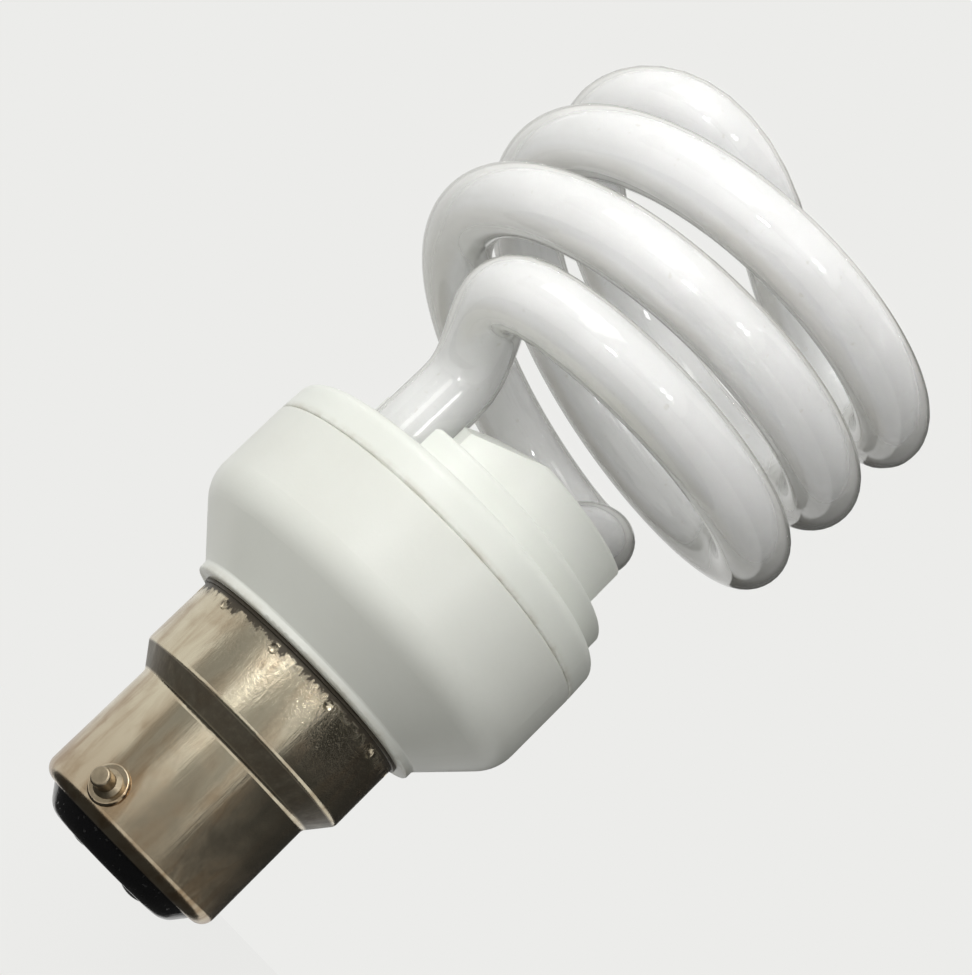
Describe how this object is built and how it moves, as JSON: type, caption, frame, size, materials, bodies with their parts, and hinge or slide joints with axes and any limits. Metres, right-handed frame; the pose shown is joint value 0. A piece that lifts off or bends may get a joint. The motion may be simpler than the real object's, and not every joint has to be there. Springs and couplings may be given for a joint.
{
  "type": "spiral energy saving bulb",
  "caption": "Spiral fluorescent lamp: white double-helix tube on a stepped plastic ballast housing with a two-pin bayonet cap.",
  "frame": {"origin": "on the lamp's axis, at the height of the two bayonet pins", "axes": "+Z along the lamp's axis from the cap towards the glass spiral, +Y out along one bayonet pin, +X completes the right-handed frame"},
  "size_m": [0.0543, 0.0535, 0.0987],
  "materials": {
    "nickel_plate": "satin",
    "pin_brass": "satin",
    "black_glass": "gloss",
    "contact_brass": "satin",
    "solder": "satin",
    "bowl_plastic": "satin",
    "cover_plastic": "satin",
    "coated_glass": "gloss",
    "cement": "matt",
    "tinned_wire": "satin",
    "tinned_pin": "satin",
    "board": "satin",
    "ferrite": "matt",
    "bobbin_plastic": "satin",
    "copper": "gloss",
    "capacitor_sleeve": "gloss",
    "ring_ferrite": "matt",
    "winding_wire": "gloss",
    "transistor_body": "matt",
    "film_red": "gloss",
    "film_brown": "gloss",
    "diode_body": "satin",
    "resistor_body": "satin",
    "diac_glass": "gloss",
    "choke_sleeve": "satin",
    "wire_red": "satin",
    "wire_black": "satin",
    "shrink_sleeve": "matt",
    "wire_black_upper": "satin"
  },
  "bodies": {
    "root": {"cap_shell": "nickel_plate", "bayonet_pins": "pin_brass", "cap_insulator": "black_glass", "contact_plates": "contact_brass", "contact_solder": "solder", "lower_housing": "bowl_plastic", "upper_housing": "cover_plastic", "spiral_tube": "coated_glass", "tube_cement": "cement", "tube_lead_wires": "tinned_wire", "wrap_pins": "tinned_pin", "circuit_board": "board", "choke_core": "ferrite", "choke_bobbin": "bobbin_plastic", "choke_winding": "copper", "bulk_capacitor": "capacitor_sleeve", "drive_ring_core": "ring_ferrite", "drive_ring_windings": "winding_wire", "transistors": "transistor_body", "resonant_capacitor": "film_red", "coupling_capacitor": "film_brown", "rectifier_diodes": "diode_body", "resistors": "resistor_body", "diac": "diac_glass", "filter_choke": "choke_sleeve", "live_wire": "wire_red", "neutral_lower_wire": "wire_black", "fusible_resistor": "shrink_sleeve", "neutral_upper_wire": "wire_black_upper"}
  },
  "joints": []
}
